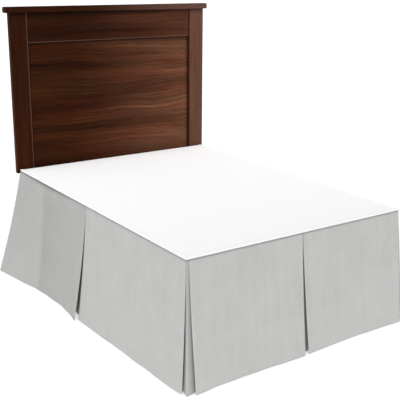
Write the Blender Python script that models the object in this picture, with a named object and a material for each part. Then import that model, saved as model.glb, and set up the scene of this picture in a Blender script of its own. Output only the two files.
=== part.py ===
# Bed skirt on a plain bed: a white deck cloth on the bed board, grey drops that hang from its
# edge with a split at the middle of each side and at the foot corners, and the bed that
# carries them. Metres, +Z up, head of the bed toward +Y, the floor at z = 0.
import math

import bpy

for thing in list(bpy.data.objects):
    bpy.data.objects.remove(thing, do_unlink=True)

# Driving dimensions of the bed
BED_WIDTH = 1.372
BED_LENGTH = 1.905
BED_TOP = 0.645
BOARD_THICK = 0.018
RAIL_THICK = 0.030
RAIL_TALL = 0.160
LEG_SIDE = 0.060
EDGE_GAP = 0.004
JOINT_GAP = 0.0005

# Driving dimensions of the headboard
HEADBOARD_TOP = 1.650
CAP_HALF = 0.733
CAP_TALL = 0.036
CAP_DEPTH = 0.052
CAP_OVERHANG = 0.012
POST_OUTER = 0.706
POST_WIDE = 0.112
POST_DEPTH = 0.034
POST_LOW = 0.620
HEADBOARD_FRONT = 0.958
TOP_RAIL_TALL = 0.184
RAIL_RECESS = 0.006
RAIL_BACK = 0.028
PANEL_RECESS = 0.016
PANEL_BACK = 0.028
BATTEN = (0.640, 0.740)
BATTEN_THICK = 0.020
STRUT = (0.580, 0.640)
STRUT_THICK = 0.030
STRUT_TOP = 1.200

# Driving dimensions of the cloth
CLOTH = 0.0020
SEWN_GAP = 0.0004
LIP = 0.007
EDGE_RADIUS = 0.006
HEM_HEIGHT = 0.005
SPLIT_TOP = 0.0012
SPLIT_OPENS = 0.9
CORNER_CLEAR = 0.0024
CORNER_OPEN = 0.012
HEAD_GAP = 0.0025
RIPPLE_WIDE = 0.0012
RIPPLE_FINE = 0.0007
FOLD_FADE = 0.8

HALF_W = BED_WIDTH / 2
HALF_L = BED_LENGTH / 2
LIP_Z = BED_TOP - CLOTH / 2
BOARD_TOP = BED_TOP - CLOTH - SEWN_GAP
BOARD_LOW = BOARD_TOP - BOARD_THICK
RAIL_TOP = BOARD_LOW - JOINT_GAP
DROP_OUT = 0.004

COLOURS = {
    "grey_cloth": ((0.50, 0.495, 0.485, 1.0), 0.85, 0.0),
    "white_cloth": ((0.90, 0.90, 0.90, 1.0), 0.85, 0.0),
    "walnut": ((0.085, 0.030, 0.018, 1.0), 0.42, 0.0),
    "plywood": ((0.55, 0.40, 0.25, 1.0), 0.60, 0.0),
    "steel": ((0.10, 0.10, 0.11, 1.0), 0.45, 0.8),
}


def add_material(name, kind):
    """One Principled material for a node."""
    colour, rough, metal = COLOURS[kind]
    material = bpy.data.materials.new(name + "_mat")
    material.use_nodes = True
    shader = material.node_tree.nodes["Principled BSDF"]
    shader.inputs["Base Color"].default_value = colour
    shader.inputs["Roughness"].default_value = rough
    shader.inputs["Metallic"].default_value = metal
    material.diffuse_color = colour
    return material


def add_object(name, points, faces, kind):
    """A named mesh object from points and faces."""
    mesh = bpy.data.meshes.new(name)
    mesh.from_pydata(points, [], faces)
    mesh.validate()
    mesh.update()
    item = bpy.data.objects.new(name, mesh)
    bpy.context.scene.collection.objects.link(item)
    mesh.materials.append(add_material(name, kind))
    return item


def add_prism(name, outline, low, high, kind, axis="z"):
    """A closed prism: an outline in the plane across the axis, taken from low to high."""
    place = {
        "z": lambda a, b, c: (a, b, c),
        "x": lambda a, b, c: (c, a, b),
        "y": lambda a, b, c: (b, c, a),
    }[axis]
    count = len(outline)
    points = [place(a, b, low) for a, b in outline]
    points += [place(a, b, high) for a, b in outline]
    faces = [tuple(reversed(range(count))), tuple(range(count, 2 * count))]
    for i in range(count):
        j = (i + 1) % count
        faces.append((i, j, count + j, count + i))
    return add_object(name, points, faces, kind)


def add_box(name, x, y, z, kind, chamfer=0.0, axis="z"):
    """A box between pairs of limits, its four edges along the axis cut by a small chamfer."""
    spans = {"z": (x, y, z), "x": (y, z, x), "y": (z, x, y)}[axis]
    (a0, a1), (b0, b1), (low, high) = spans
    c = chamfer
    if c > 0:
        outline = [(a0 + c, b0), (a1 - c, b0), (a1, b0 + c), (a1, b1 - c),
                   (a1 - c, b1), (a0 + c, b1), (a0, b1 - c), (a0, b0 + c)]
    else:
        outline = [(a0, b0), (a1, b0), (a1, b1), (a0, b1)]
    return add_prism(name, outline, low, high, kind, axis)


def add_slab(name, half_x, half_y, low, high, eased, kind):
    """A flat board whose upper edges are eased all round."""
    points = []
    for z, cut in ((low, 0.0), (high - eased, 0.0), (high, eased)):
        x = half_x - cut
        y = half_y - cut
        points += [(-x, -y, z), (x, -y, z), (x, y, z), (-x, y, z)]
    faces = [(3, 2, 1, 0), (8, 9, 10, 11)]
    for ring in (0, 4):
        for i in range(4):
            j = (i + 1) % 4
            faces.append((ring + i, ring + j, ring + 4 + j, ring + 4 + i))
    return add_object(name, points, faces, kind)


def cross(a, b):
    return (a[1] * b[2] - a[2] * b[1], a[2] * b[0] - a[0] * b[2], a[0] * b[1] - a[1] * b[0])


def unit(a):
    size = math.sqrt(sum(v * v for v in a))
    return tuple(v / size for v in a)


def add_cloth(name, rows, kind):
    """A closed sheet CLOTH thick about a grid of middle points, given row by row."""
    tall = len(rows)
    wide = len(rows[0])
    up = []
    down = []
    for r in range(tall):
        for c in range(wide):
            before = rows[r][max(c - 1, 0)]
            after = rows[r][min(c + 1, wide - 1)]
            above = rows[max(r - 1, 0)][c]
            below = rows[min(r + 1, tall - 1)][c]
            along = tuple(q - p for p, q in zip(before, after))
            across = tuple(q - p for p, q in zip(above, below))
            normal = unit(cross(along, across))
            here = rows[r][c]
            up.append(tuple(p + n * CLOTH / 2 for p, n in zip(here, normal)))
            down.append(tuple(p - n * CLOTH / 2 for p, n in zip(here, normal)))
    total = tall * wide
    faces = []
    for r in range(tall - 1):
        for c in range(wide - 1):
            a = r * wide + c
            faces.append((a, a + 1, a + wide + 1, a + wide))
            faces.append((total + a, total + a + wide, total + a + wide + 1, total + a + 1))
    for c in range(wide - 1):
        faces.append((c, total + c, total + c + 1, c + 1))
        low = (tall - 1) * wide + c
        faces.append((low, low + 1, total + low + 1, total + low))
    for r in range(tall - 1):
        left = r * wide
        faces.append((left, left + wide, total + left + wide, total + left))
        right = r * wide + wide - 1
        faces.append((right, total + right, total + right + wide, right + wide))
    return add_object(name, up + down, faces, kind)


# Each side of the bed: where its edge starts, which way it runs and which way is out
SIDES = {
    "left": ((-HALF_W, -HALF_L), (0.0, 1.0), (-1.0, 0.0)),
    "foot": ((-HALF_W, -HALF_L), (1.0, 0.0), (0.0, -1.0)),
    "right": ((HALF_W, -HALF_L), (0.0, 1.0), (1.0, 0.0)),
}

# How far the hem stands out from the bed's edge, at distances along the edge from the foot
# (or, on the foot side, from its left end)
HEM_OUT = {
    "left_panel_foot": ((-0.05, 0.050), (0.10, 0.060), (0.42, 0.068), (0.70, 0.078), (0.96, 0.090)),
    "left_panel_head": ((0.94, 0.111), (1.05, 0.095), (1.17, 0.086), (1.29, 0.088),
                        (1.41, 0.096), (1.55, 0.114), (1.73, 0.146), (1.91, 0.177)),
    "foot_panel_left": ((-0.01, 0.086), (0.06, 0.080), (0.20, 0.070), (0.45, 0.071), (0.69, 0.076)),
    "foot_panel_right": ((0.69, 0.074), (0.80, 0.064), (1.05, 0.057), (1.25, 0.059), (1.39, 0.066)),
    "right_panel_foot": ((-0.05, 0.056), (0.12, 0.060), (0.45, 0.056), (0.72, 0.066), (0.96, 0.082)),
    "right_panel_head": ((0.94, 0.086), (1.08, 0.066), (1.35, 0.062), (1.62, 0.074), (1.91, 0.090)),
}

# Soft folds of single panels: place along the edge, half width, how far out (or in)
FOLDS = {
    "left_panel_head": ((1.500, 0.050, -0.010), (1.400, 0.080, -0.003), (1.600, 0.060, 0.005)),
    "left_panel_foot": ((0.60, 0.110, 0.004), (0.24, 0.080, -0.003)),
    "foot_panel_left": ((0.38, 0.090, -0.004),),
    "foot_panel_right": ((1.00, 0.110, -0.004),),
    "right_panel_foot": ((0.48, 0.100, -0.006), (0.70, 0.080, 0.004)),
    "right_panel_head": ((1.30, 0.090, 0.006), (1.50, 0.080, -0.007)),
}

# The range along the edge that each panel covers at its top and at its hem
MID_SIDE = HALF_L
LEAN_LEFT = 0.030
MID_FOOT = HALF_W
CORNER_TOP = DROP_OUT - CORNER_CLEAR
HEAD_TOP = BED_LENGTH - HEAD_GAP
HEAD_HEM = BED_LENGTH - 2 * HEAD_GAP
# Each row: side, start and end at the top, start and end at the hem, and where its ripple starts
PANELS = {
    "left_panel_foot": ("left", -CORNER_TOP, MID_SIDE + LEAN_LEFT - SPLIT_TOP / 2,
                        -0.045, MID_SIDE - 0.006, 0.4),
    "left_panel_head": ("left", MID_SIDE + LEAN_LEFT + SPLIT_TOP / 2, HEAD_TOP,
                        MID_SIDE, HEAD_HEM, 1.7),
    "foot_panel_left": ("foot", CORNER_OPEN, MID_FOOT - SPLIT_TOP / 2, -0.003, MID_FOOT - 0.013, 2.9),
    "foot_panel_right": ("foot", MID_FOOT + SPLIT_TOP / 2, BED_WIDTH + CORNER_TOP,
                         MID_FOOT + 0.014, BED_WIDTH + 0.012, 4.1),
    "right_panel_foot": ("right", -CORNER_TOP, MID_SIDE - SPLIT_TOP / 2, -0.040, MID_SIDE - 0.009, 5.3),
    "right_panel_head": ("right", MID_SIDE + SPLIT_TOP / 2, HEAD_TOP, MID_SIDE + 0.010, HEAD_HEM, 0.9),
}


def smooth_table(table, at):
    """A value read off a smooth curve through the entries of a short table."""
    last = len(table) - 1
    if at <= table[0][0]:
        return table[0][1]
    if at >= table[last][0]:
        return table[last][1]
    slopes = []
    for i in range(last + 1):
        (u0, v0), (u1, v1) = table[max(i - 1, 0)], table[min(i + 1, last)]
        slopes.append((v1 - v0) / (u1 - u0))
    i = max(j for j in range(last) if at >= table[j][0])
    (u0, v0), (u1, v1) = table[i], table[i + 1]
    step = u1 - u0
    k = (at - u0) / step
    bend = k * (1 - k)
    eased = k * k * (3 - 2 * k)
    return v0 + (v1 - v0) * eased + step * bend * (slopes[i] * (1 - k) - slopes[i + 1] * k)


def ripple(along, phase):
    """The soft uneven folds of the hanging cloth, about zero."""
    wide = RIPPLE_WIDE * math.sin(along * 19.0 + phase)
    return wide + RIPPLE_FINE * math.sin(along * 37.0 + phase * 2.3)


def fold(name, along):
    """The sum of a panel's soft folds at a place along it."""
    total = 0.0
    for place, half, out in FOLDS[name]:
        total += out * math.exp(-((along - place) / half) ** 2)
    return total


def side_point(side, along, out, z):
    (x, y), (ax, ay), (nx, ny) = SIDES[side]
    return (x + ax * along + nx * out, y + ay * along + ny * out, z)


FALL = (0.0, 0.05, 0.14, 0.26, 0.40, 0.55, 0.70, 0.85, 1.0)
FALL_TOP = LIP_Z - EDGE_RADIUS


def flare_share(t):
    """How much of the hem's outward swing the cloth has at a share t of its fall."""
    return 0.78 * t + 0.22 * t * t


def panel_rows(name, columns=17):
    side, top0, top1, hem0, hem1, phase = PANELS[name]
    table = HEM_OUT[name]
    rows = []
    lip = ((-LIP, 0.0), (DROP_OUT - EDGE_RADIUS, 0.0),
           (DROP_OUT - EDGE_RADIUS * 0.293, -EDGE_RADIUS * 0.293))
    for out, dz in lip:
        mitre = DROP_OUT - out
        cut0 = mitre if top0 < 0 else 0.0
        cut1 = mitre if name == "foot_panel_right" else 0.0
        row = []
        for c in range(columns):
            k = c / (columns - 1)
            along = (top0 + cut0) * (1 - k) + (top1 - cut1) * k
            row.append(side_point(side, along, out, LIP_Z + dz))
        rows.append(row)
    for t in FALL:
        row = []
        for c in range(columns):
            k = c / (columns - 1)
            open0 = t ** SPLIT_OPENS
            along = (top0 + (hem0 - top0) * open0) * (1 - k) + (top1 + (hem1 - top1) * open0) * k
            swing = smooth_table(table, along) * flare_share(t) + ripple(along, phase) * t
            swing += fold(name, along) * math.sqrt(t) * (1 - FOLD_FADE * t ** 4)
            row.append(side_point(side, along, DROP_OUT + swing, FALL_TOP + (HEM_HEIGHT - FALL_TOP) * t))
        rows.append(row)
    return rows


def panel_out(side, along, t):
    """How far out the panels of a side are at a place along it."""
    names = [n for n in PANELS if PANELS[n][0] == side]
    middle = MID_FOOT if side == "foot" else MID_SIDE
    name = names[0] if along < middle else names[1]
    return DROP_OUT + smooth_table(HEM_OUT[name], along) * flare_share(t)


BACKING_HALF = 0.120
BACKING_TOP = BED_TOP - 0.014


def backing_rows(side, columns=9):
    """The layer behind a mid-side split: close at the top, well back at the hem."""
    middle = MID_FOOT if side == "foot" else MID_SIDE
    rows = []
    for t in (0.0, 0.08, 0.25, 0.45, 0.65, 0.85, 1.0):
        z = BACKING_TOP + (HEM_HEIGHT + 0.004 - BACKING_TOP) * t
        share = max((FALL_TOP - z) / (FALL_TOP - HEM_HEIGHT), 0.0)
        row = []
        for c in range(columns):
            k = 2 * c / (columns - 1) - 1
            lean = LEAN_LEFT * (1 - share) if side == "left" else 0.0
            along = middle + lean + BACKING_HALF * k
            edge = min(panel_out(side, middle - 0.02, share), panel_out(side, middle + 0.02, share))
            behind = CLOTH + SEWN_GAP + 0.020 * share + 0.010 * share * abs(k)
            row.append(side_point(side, along, edge - behind, z))
        rows.append(row)
    return rows


# The corner insert: places along the two panels that hide it, from the bed's corner
INSERT_SIDE_ARM = (0.130, 0.080, 0.034, -0.022)
INSERT_FOOT_ARM = (0.006, 0.040, 0.085, 0.140)
INSERT_BACK = 0.018
CREASE_BACK = 0.011


def insert_rows(hand):
    """The insert behind a split foot corner. hand is -1 for the left corner, 1 for the right."""
    side = "left" if hand < 0 else "right"
    rows = []
    for t in (0.0, 0.10, 0.30, 0.50, 0.70, 0.88, 1.0):
        z = BACKING_TOP + (HEM_HEIGHT + 0.001 - BACKING_TOP) * t
        share = max((FALL_TOP - z) / (FALL_TOP - HEM_HEIGHT), 0.0)
        behind = CLOTH + SEWN_GAP + INSERT_BACK * share
        row = []
        for at in INSERT_SIDE_ARM:
            along = at if at > 0 else at * share
            row.append((panel_out(side, at, share) - behind, along))
        crease = CLOTH + SEWN_GAP + CREASE_BACK * share
        foot_end = 0.0 if hand < 0 else BED_WIDTH
        row.append((panel_out(side, 0.0, share) - crease, crease - panel_out("foot", foot_end, share)))
        for at in INSERT_FOOT_ARM:
            place = at if hand < 0 else BED_WIDTH - at
            row.append((-at, behind - panel_out("foot", place, share)))
        line = [(hand * (HALF_W + out), -HALF_L + along, z) for out, along in row]
        rows.append(line if hand < 0 else list(reversed(line)))
    return rows


def make_cloth():
    border = LIP + SEWN_GAP
    add_box("deck", (-HALF_W + border, HALF_W - border), (-HALF_L + border, HALF_L - HEAD_GAP),
            (BED_TOP - CLOTH, BED_TOP), "white_cloth")
    for name in PANELS:
        rows = panel_rows(name)
        if PANELS[name][0] == "left":
            rows = [list(reversed(row)) for row in rows]
        add_cloth(name, rows, "grey_cloth")
    for side in SIDES:
        rows = backing_rows(side)
        if side == "left":
            rows = [list(reversed(row)) for row in rows]
        add_cloth(side + "_pleat_backing", rows, "grey_cloth")
    add_cloth("corner_insert_left", insert_rows(-1), "grey_cloth")
    add_cloth("corner_insert_right", insert_rows(1), "grey_cloth")


def make_base():
    wide = HALF_W - EDGE_GAP
    long = HALF_L - EDGE_GAP
    inner = wide - RAIL_THICK
    rails = (RAIL_TOP - RAIL_TALL, RAIL_TOP)
    add_slab("bed_board", wide, long, BOARD_LOW, BOARD_TOP, 0.004, "plywood")
    add_box("side_rail_left", (-wide, -inner), (-long, long), rails, "walnut", 0.002, "y")
    add_box("side_rail_right", (inner, wide), (-long, long), rails, "walnut", 0.002, "y")
    span = (-inner + JOINT_GAP, inner - JOINT_GAP)
    add_box("foot_rail", span, (-long, -long + RAIL_THICK), rails, "walnut", 0.002, "x")
    add_box("head_rail", span, (long - RAIL_THICK, long), rails, "walnut", 0.002, "x")
    beam_end = long - RAIL_THICK - JOINT_GAP
    beam_low = RAIL_TOP - 0.100
    add_box("centre_beam", (-0.020, 0.020), (-beam_end, beam_end), (beam_low, RAIL_TOP), "plywood")
    for name, y in (("leg_middle_foot", -0.600), ("leg_middle", 0.0), ("leg_middle_head", 0.600)):
        half = LEG_SIDE / 2
        add_box(name, (-half, half), (y - half, y + half), (0.0, beam_low - JOINT_GAP), "walnut", 0.003)
    near = -long + RAIL_THICK + JOINT_GAP
    far = inner - JOINT_GAP
    for name, hand in (("leg_foot_left", -1), ("leg_foot_right", 1)):
        xs = sorted((hand * far, hand * (far - LEG_SIDE)))
        add_box(name, xs, (near, near + LEG_SIDE), (0.0, RAIL_TOP - JOINT_GAP), "walnut", 0.003)
    for name, hand in (("head_bracket_left", -1), ("head_bracket_right", 1)):
        xs = sorted((hand * (STRUT[0] + 0.004), hand * (STRUT[1] - 0.004)))
        add_box(name, xs, (long + JOINT_GAP, HEADBOARD_FRONT + POST_DEPTH),
                (RAIL_TOP - 0.140, RAIL_TOP - 0.030), "steel", 0.003, "y")


def make_headboard():
    front = HEADBOARD_FRONT
    cap_low = HEADBOARD_TOP - CAP_TALL
    post_in = POST_OUTER - POST_WIDE
    for name, hand in (("post_left", -1), ("post_right", 1)):
        xs = sorted((hand * post_in, hand * POST_OUTER))
        add_box(name, xs, (front, front + POST_DEPTH), (POST_LOW, cap_low - JOINT_GAP), "walnut", 0.002)
    cap_front = front - CAP_OVERHANG
    add_box("cap", (-CAP_HALF, CAP_HALF), (cap_front, cap_front + CAP_DEPTH),
            (cap_low, HEADBOARD_TOP), "walnut", 0.006, "x")
    span = (-post_in + JOINT_GAP, post_in - JOINT_GAP)
    rail_depth = (front + RAIL_RECESS, front + RAIL_BACK)
    top_low = cap_low - JOINT_GAP - TOP_RAIL_TALL
    add_box("top_rail", span, rail_depth, (top_low, cap_low - JOINT_GAP), "walnut", 0.002, "x")
    add_box("panel", span, (front + PANEL_RECESS, front + PANEL_BACK),
            (POST_LOW, top_low - JOINT_GAP), "walnut")
    behind = front + PANEL_BACK + JOINT_GAP
    add_box("lower_rail", (-STRUT[0] + JOINT_GAP, STRUT[0] - JOINT_GAP),
            (behind, behind + BATTEN_THICK), BATTEN, "walnut", 0.002, "x")
    strut_front = front + POST_DEPTH + JOINT_GAP
    for name, hand in (("headboard_leg_left", -1), ("headboard_leg_right", 1)):
        xs = sorted((hand * STRUT[0], hand * STRUT[1]))
        add_box(name, xs, (strut_front, strut_front + STRUT_THICK), (0.0, STRUT_TOP), "walnut", 0.002)


make_cloth()
make_base()
make_headboard()
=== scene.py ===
# %% [markdown]
# # A tailored bed skirt on its bed
#
# A bed skirt hides the base of a bed. A flat white cloth, the deck, lies where the mattress
# will rest. Grey drops are sewn round its edge and fall to the floor. They are split at the
# middle of each side and at the foot corners, and a spare layer behind each split keeps the
# legs out of sight. The bed under it is plain, with a dark wooden headboard.
#
# The measured solids are loaded first. Each cloth is then made again as a finer sheet in the
# same place, and the woods get edges and grain.

# %% Load the measured model
import math

import bmesh
import bpy
import numpy as np
from mathutils import Matrix, Vector, noise


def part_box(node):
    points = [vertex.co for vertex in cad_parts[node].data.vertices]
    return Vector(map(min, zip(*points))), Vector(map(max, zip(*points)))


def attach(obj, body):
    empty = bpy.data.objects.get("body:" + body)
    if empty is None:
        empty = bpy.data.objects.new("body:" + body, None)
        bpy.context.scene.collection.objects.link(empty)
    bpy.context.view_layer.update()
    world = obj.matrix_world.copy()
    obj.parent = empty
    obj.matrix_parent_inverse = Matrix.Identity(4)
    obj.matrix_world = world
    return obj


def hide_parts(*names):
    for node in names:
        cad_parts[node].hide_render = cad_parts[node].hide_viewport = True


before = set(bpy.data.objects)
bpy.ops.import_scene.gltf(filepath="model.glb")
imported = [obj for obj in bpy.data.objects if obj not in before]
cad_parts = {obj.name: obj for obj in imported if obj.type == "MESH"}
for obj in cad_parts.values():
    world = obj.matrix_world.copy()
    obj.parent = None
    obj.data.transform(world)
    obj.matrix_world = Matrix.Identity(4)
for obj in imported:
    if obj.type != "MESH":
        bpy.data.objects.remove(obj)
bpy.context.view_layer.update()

print("nodes loaded:", len(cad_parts))

# %% [markdown]
# ## The camera
#
# The photograph looks down at the near corner of the bed from about two metres up. The place
# and lens below were worked out from the corners of the platform and the headboard, so that
# every edge falls near where the photograph has it. The focal length is in pixels of a frame
# 400 wide, which a 36 mm sensor turns into millimetres.

# %% Set up the camera
FRAME_PIXELS = 400.0
SENSOR = 36.0
EYE = (-2.5266, -3.7482, 1.9105)
YAW = 0.6230
PITCH = 0.2778
ROLL = 0.0137
FOCAL_PIXELS = 797.6
SHIFT_PIXELS = (17.8, -8.0)

camera_data = bpy.data.cameras.new("camera")
camera_data.sensor_width = SENSOR
camera_data.lens = SENSOR * FOCAL_PIXELS / FRAME_PIXELS
camera_data.shift_x = -SHIFT_PIXELS[0] / FRAME_PIXELS
camera_data.shift_y = SHIFT_PIXELS[1] / FRAME_PIXELS
camera_data.clip_end = 300.0
camera = bpy.data.objects.new("camera", camera_data)
bpy.context.scene.collection.objects.link(camera)
turn = Matrix.Rotation(-YAW, 4, "Z") @ Matrix.Rotation(math.pi / 2 - PITCH, 4, "X")
camera.matrix_world = Matrix.Translation(EYE) @ turn @ Matrix.Rotation(ROLL, 4, "Z")
bpy.context.scene.camera = camera
print("lens", round(camera_data.lens, 1), "mm at", EYE)

# %% [markdown]
# ## Light and floor
#
# The bed stands in a white studio. Soft light comes from everywhere, and more of it from in
# front of the foot end, so that a fold shows by the way it turns. A wide lamp overhead keeps
# the floor and the deck white, and a small soft lamp near the left side lights its near half
# most, as the light in the photograph does. The background itself is plain white.

# %% Surround the bed with white air
AIR_EVEN = 0.50
AIR_FROM_FRONT = 0.20
FRONT = (-0.25, -0.95, 0.15)

world = bpy.data.worlds.new("studio_air")
bpy.context.scene.world = world
world.use_nodes = True
air = world.node_tree
air.nodes.clear()
air_out = air.nodes.new("ShaderNodeOutputWorld")
seen_air = air.nodes.new("ShaderNodeBackground")
seen_air.inputs["Color"].default_value = (1.0, 1.0, 1.0, 1.0)
lit_air = air.nodes.new("ShaderNodeBackground")
lit_air.inputs["Color"].default_value = (1.0, 1.0, 1.0, 1.0)
direction = air.nodes.new("ShaderNodeTexCoord").outputs["Generated"]
frontal = air.nodes.new("ShaderNodeVectorMath")
frontal.operation = "DOT_PRODUCT"
frontal.inputs[1].default_value = FRONT
air.links.new(direction, frontal.inputs[0])
strength = air.nodes.new("ShaderNodeMath")
strength.operation = "MULTIPLY_ADD"
strength.inputs[1].default_value = AIR_FROM_FRONT
strength.inputs[2].default_value = AIR_EVEN
air.links.new(frontal.outputs["Value"], strength.inputs[0])
air.links.new(strength.outputs["Value"], lit_air.inputs["Strength"])
ray_kind = air.nodes.new("ShaderNodeLightPath")
air_mix = air.nodes.new("ShaderNodeMixShader")
air.links.new(ray_kind.outputs["Is Camera Ray"], air_mix.inputs["Fac"])
air.links.new(lit_air.outputs["Background"], air_mix.inputs[1])
air.links.new(seen_air.outputs["Background"], air_mix.inputs[2])
air.links.new(air_mix.outputs["Shader"], air_out.inputs["Surface"])
bpy.context.scene.view_settings.view_transform = "Standard"
print("air:", AIR_EVEN, "all round and up to", AIR_FROM_FRONT, "more from the front")


# %% Hang the lamps
def aim_lamp(data, place, aim):
    """Puts a lamp at place, facing aim."""
    lamp = bpy.data.objects.new(data.name, data)
    bpy.context.scene.collection.objects.link(lamp)
    lamp.location = place
    lamp.rotation_euler = (Vector(aim) - Vector(place)).to_track_quat("-Z", "Y").to_euler()
    return lamp


def soft_box(name, place, aim, size, power):
    """A square soft lamp."""
    data = bpy.data.lights.new(name, "AREA")
    data.shape = "SQUARE"
    data.size = size
    data.energy = power
    return aim_lamp(data, place, aim)


overhead = bpy.data.lights.new("overhead_lamp", "SUN")
overhead.energy = 2.15
overhead.angle = math.radians(50)
lamps = [
    aim_lamp(overhead, (-0.8, -1.6, 6.0), (0.0, 0.0, 0.0)),
    soft_box("left_lamp", (-2.9, -1.05, 0.6), (-0.8, -0.5, 0.3), 0.7, 6.5),
]
print("lamps:", [lamp.name for lamp in lamps])

# %% [markdown]
# ## Finishes
#
# Every material is made from nodes. Most of them read a place on the piece and turn it into
# colour and small relief with noise. The cloths read a flat place instead, stored on each
# point: how far along the cut cloth it is and how far down, in metres. That keeps the
# threads straight on the cloth however it hangs, as a real weave does.


# %% Helpers for node materials
def new_material(name, roughness, specular=0.5):
    """A material with one shader. Gives the material, its nodes, its links and the shader."""
    material = bpy.data.materials.new(name)
    material.use_nodes = True
    nodes = material.node_tree.nodes
    links = material.node_tree.links
    shader = nodes["Principled BSDF"]
    shader.inputs["Roughness"].default_value = roughness
    shader.inputs["Specular IOR Level"].default_value = specular
    return material, nodes, links, shader


def stretched_noise(nodes, links, vector, scale, detail=4.0, roughness=0.55, distortion=0.0):
    """Noise over a vector whose axes are stretched by scale. Gives the noise value."""
    mapping = nodes.new("ShaderNodeMapping")
    mapping.inputs["Scale"].default_value = scale
    links.new(vector, mapping.inputs["Vector"])
    grain = nodes.new("ShaderNodeTexNoise")
    grain.inputs["Scale"].default_value = 1.0
    grain.inputs["Detail"].default_value = detail
    grain.inputs["Roughness"].default_value = roughness
    grain.inputs["Distortion"].default_value = distortion
    links.new(mapping.outputs["Vector"], grain.inputs["Vector"])
    return grain.outputs["Fac"]


def number_math(nodes, links, kind, *values):
    """One step of arithmetic on numbers or sockets."""
    step = nodes.new("ShaderNodeMath")
    step.operation = kind
    for socket, value in zip(step.inputs, values):
        if isinstance(value, (int, float)):
            socket.default_value = value
        else:
            links.new(value, socket)
    return step.outputs["Value"]


def colour_ramp(nodes, links, value, stops):
    """Turns a number into a colour by a row of (place, colour) stops."""
    ramp = nodes.new("ShaderNodeValToRGB")
    ramp.color_ramp.interpolation = "EASE"
    while len(ramp.color_ramp.elements) < len(stops):
        ramp.color_ramp.elements.new(0.5)
    for element, (place, colour) in zip(ramp.color_ramp.elements, stops):
        element.position = place
        element.color = (*colour, 1.0)
    links.new(value, ramp.inputs["Fac"])
    return ramp.outputs["Color"]


def mixed_colour(nodes, links, kind, share, first, second):
    """Two colour sockets blended by a share between 0 and 1."""
    mix = nodes.new("ShaderNodeMix")
    mix.data_type = "RGBA"
    mix.blend_type = kind
    if isinstance(share, (int, float)):
        mix.inputs["Factor"].default_value = share
    else:
        links.new(share, mix.inputs["Factor"])
    links.new(first, mix.inputs["A"])
    links.new(second, mix.inputs["B"])
    return mix.outputs["Result"]


def relief(nodes, links, shader, height, strength, distance, under=None):
    """Small bumps from a height, on top of an earlier bump if one is given."""
    bump = nodes.new("ShaderNodeBump")
    bump.inputs["Strength"].default_value = strength
    bump.inputs["Distance"].default_value = distance
    links.new(height, bump.inputs["Height"])
    if under is not None:
        links.new(under.outputs["Normal"], bump.inputs["Normal"])
    links.new(bump.outputs["Normal"], shader.inputs["Normal"])
    return bump


print("helpers ready")

# %% [markdown]
# ### Woven cloth
#
# The drops are a matt plain weave of mid grey yarn, a little thicker here and thinner there,
# so that faint streaks run down and across the cloth. A plain weave is a checker of threads
# that pass over and under: the product of two sine waves gives its relief. Colour varies by a
# few parts in a hundred. A number stored on the points paints light and shade into the
# colour: painted shade under the deck's seam, over the head half on the left and in its
# crease, and over the corner inserts, and painted highlights on the pressed edges beside the
# splits and on the inserts' creases. It also paints the deck lighter toward the head, and
# draws a thin darker line along each hem.


# %% Make the cloth finishes
def woven_material(name, colour, thread, mottle, roughness=0.9, sheen=0.10):
    """A plain weave in one colour, thread metres from yarn to yarn."""
    material, nodes, links, shader = new_material(name, roughness, 0.2)
    shader.inputs["Sheen Weight"].default_value = sheen
    shader.inputs["Sheen Roughness"].default_value = 0.6
    flat = nodes.new("ShaderNodeAttribute")
    flat.attribute_name = "flat_place"
    shade = nodes.new("ShaderNodeAttribute")
    shade.attribute_name = "shade"
    place = flat.outputs["Vector"]
    split = nodes.new("ShaderNodeSeparateXYZ")
    links.new(place, split.inputs["Vector"])
    waves = []
    for axis in ("X", "Y"):
        angle = number_math(nodes, links, "MULTIPLY", split.outputs[axis], 2 * math.pi / thread)
        waves.append(number_math(nodes, links, "SINE", angle))
    checker = number_math(nodes, links, "MULTIPLY", *waves)
    down = stretched_noise(nodes, links, place, (330.0, 4.0, 5.0), 3.0, 0.6)
    across = stretched_noise(nodes, links, place, (5.0, 420.0, 5.0), 3.0, 0.6)
    cloud = stretched_noise(nodes, links, place, (9.0, 7.0, 5.0), 5.0, 0.65)
    slub_down = stretched_noise(nodes, links, place, (62.0, 2.2, 5.0), 4.0, 0.7)
    slub_across = stretched_noise(nodes, links, place, (3.5, 90.0, 5.0), 3.0, 0.7)
    fine = number_math(nodes, links, "ADD", down, across)
    slubs = number_math(nodes, links, "MULTIPLY_ADD", slub_across, 0.35, slub_down)
    streaks = number_math(nodes, links, "MULTIPLY_ADD", slubs, 1.9, fine)
    tone = number_math(nodes, links, "MULTIPLY_ADD", streaks, mottle, 1.0 - 2.25 * mottle)
    drift = number_math(nodes, links, "MULTIPLY_ADD", cloud, 2.4 * mottle, 1.0 - 1.2 * mottle)
    tone = number_math(nodes, links, "MULTIPLY", tone, drift)
    # The stored number paints light and shade into the colour.
    tone = number_math(nodes, links, "MULTIPLY", tone, shade.outputs["Fac"])
    tint = nodes.new("ShaderNodeVectorMath")
    tint.operation = "SCALE"
    tint.inputs[0].default_value = colour
    links.new(tone, tint.inputs["Scale"])
    links.new(tint.outputs["Vector"], shader.inputs["Base Color"])
    first = relief(nodes, links, shader, checker, 0.35, thread * 0.12)
    relief(nodes, links, shader, streaks, 0.25, 0.0003, first)
    return material


GREY = (0.470, 0.468, 0.459)
# A darker copy of the grey cloth: painted shade for the layers behind the splits.
BACKING_PAINTED_SHADE = (0.300, 0.299, 0.293)
WHITE = (0.815, 0.815, 0.815)
grey_cloth = woven_material("grey_woven_cloth", GREY, 0.0011, 0.085)
shaded_cloth = woven_material("grey_cloth_painted_shade", BACKING_PAINTED_SHADE, 0.0011, 0.05)
white_cloth = woven_material("white_deck_cloth", WHITE, 0.0008, 0.012, 0.85, 0.05)
print("cloth finishes:", grey_cloth.name, shaded_cloth.name, white_cloth.name)


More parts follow.
